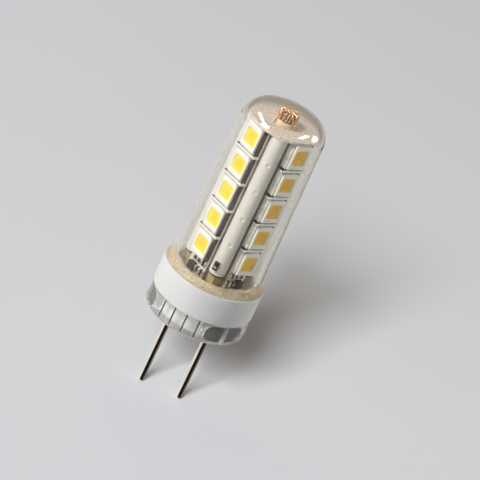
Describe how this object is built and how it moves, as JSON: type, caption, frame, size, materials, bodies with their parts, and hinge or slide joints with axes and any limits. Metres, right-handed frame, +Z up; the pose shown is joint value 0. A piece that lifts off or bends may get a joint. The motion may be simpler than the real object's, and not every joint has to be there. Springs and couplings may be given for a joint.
{
  "type": "led bi-pin capsule bulb",
  "caption": "Clear domed capsule bulb with an LED column on a white collar and clear base, plugged in by a pair of straight wire pins.",
  "frame": {"origin": "midway between the pins on the flat underside of the base", "axes": "+Z up the bulb's axis to the dome, pins along -Z, the pin row along X"},
  "size_m": [0.016, 0.016, 0.0513],
  "materials": {
    "black_chip": "moulded chip body",
    "board_metal": "aluminium core with white face",
    "clear_plastic": "clear moulded polycarbonate",
    "clip_plastic": "translucent moulding",
    "column_white": "warm white moulding",
    "copper": "enamelled copper wire",
    "cream_compound": "cream filled compound with fine specks",
    "dark_chip": "chip resistor",
    "driver_laminate": "glass-epoxy board",
    "ferrite": "sintered ferrite",
    "frosted_plastic": "clear moulded plastic with a slight haze",
    "grey_plastic": "grey moulding",
    "led_white": "white package",
    "phosphor": "yellow phosphor in silicone",
    "pin_metal": "nickel-plated wire",
    "rail_metal": "dark bright-rolled strip",
    "seat_cream": "cream moulding",
    "tan_chip": "ceramic chip",
    "tan_plastic": "tan moulding",
    "top_laminate": "pinkish beige board",
    "white_plastic": "smooth white moulding"
  },
  "bodies": {
    "root": {"base_cup": "frosted_plastic", "board_clips_1": "clip_plastic", "board_clips_2": "clip_plastic", "board_clips_3": "clip_plastic", "board_clips_4": "clip_plastic", "chip_capacitors": "tan_chip", "chip_resistors_left": "dark_chip", "chip_resistors_right": "dark_chip", "coil_core": "ferrite", "coil_seat": "seat_cream", "coil_winding": "copper", "collar": "white_plastic", "column_core": "column_white", "contact_pin_left": "pin_metal", "contact_pin_right": "pin_metal", "cover": "clear_plastic", "driver_board": "driver_laminate", "driver_chip": "black_chip", "foot_block": "tan_plastic", "foot_pad": "black_chip", "led_back_left_1": "led_white", "led_back_left_2": "led_white", "led_back_left_3": "led_white", "led_back_left_4": "led_white", "led_back_left_5": "led_white", "led_back_right_1": "led_white", "led_back_right_2": "led_white", "led_back_right_3": "led_white", "led_back_right_4": "led_white", "led_back_right_5": "led_white", "led_board_back_left": "board_metal", "led_board_back_right": "board_metal", "led_board_front_left": "board_metal", "led_board_front_right": "board_metal", "led_front_left_1": "led_white", "led_front_left_2": "led_white", "led_front_left_3": "led_white", "led_front_left_4": "led_white", "led_front_left_5": "led_white", "led_front_right_1": "led_white", "led_front_right_2": "led_white", "led_front_right_3": "led_white", "led_front_right_4": "led_white", "led_front_right_5": "led_white", "phosphor_back_left": "phosphor", "phosphor_back_right": "phosphor", "phosphor_front_left": "phosphor", "phosphor_front_right": "phosphor", "pin_carrier": "grey_plastic", "post_chip": "black_chip", "potting": "cream_compound", "rails_back_left": "rail_metal", "rails_back_right": "rail_metal", "rails_front_left": "rail_metal", "rails_front_right": "rail_metal", "rectifier_diodes": "black_chip", "sealing_bead": "cream_compound", "top_plate": "top_laminate"}
  },
  "joints": []
}
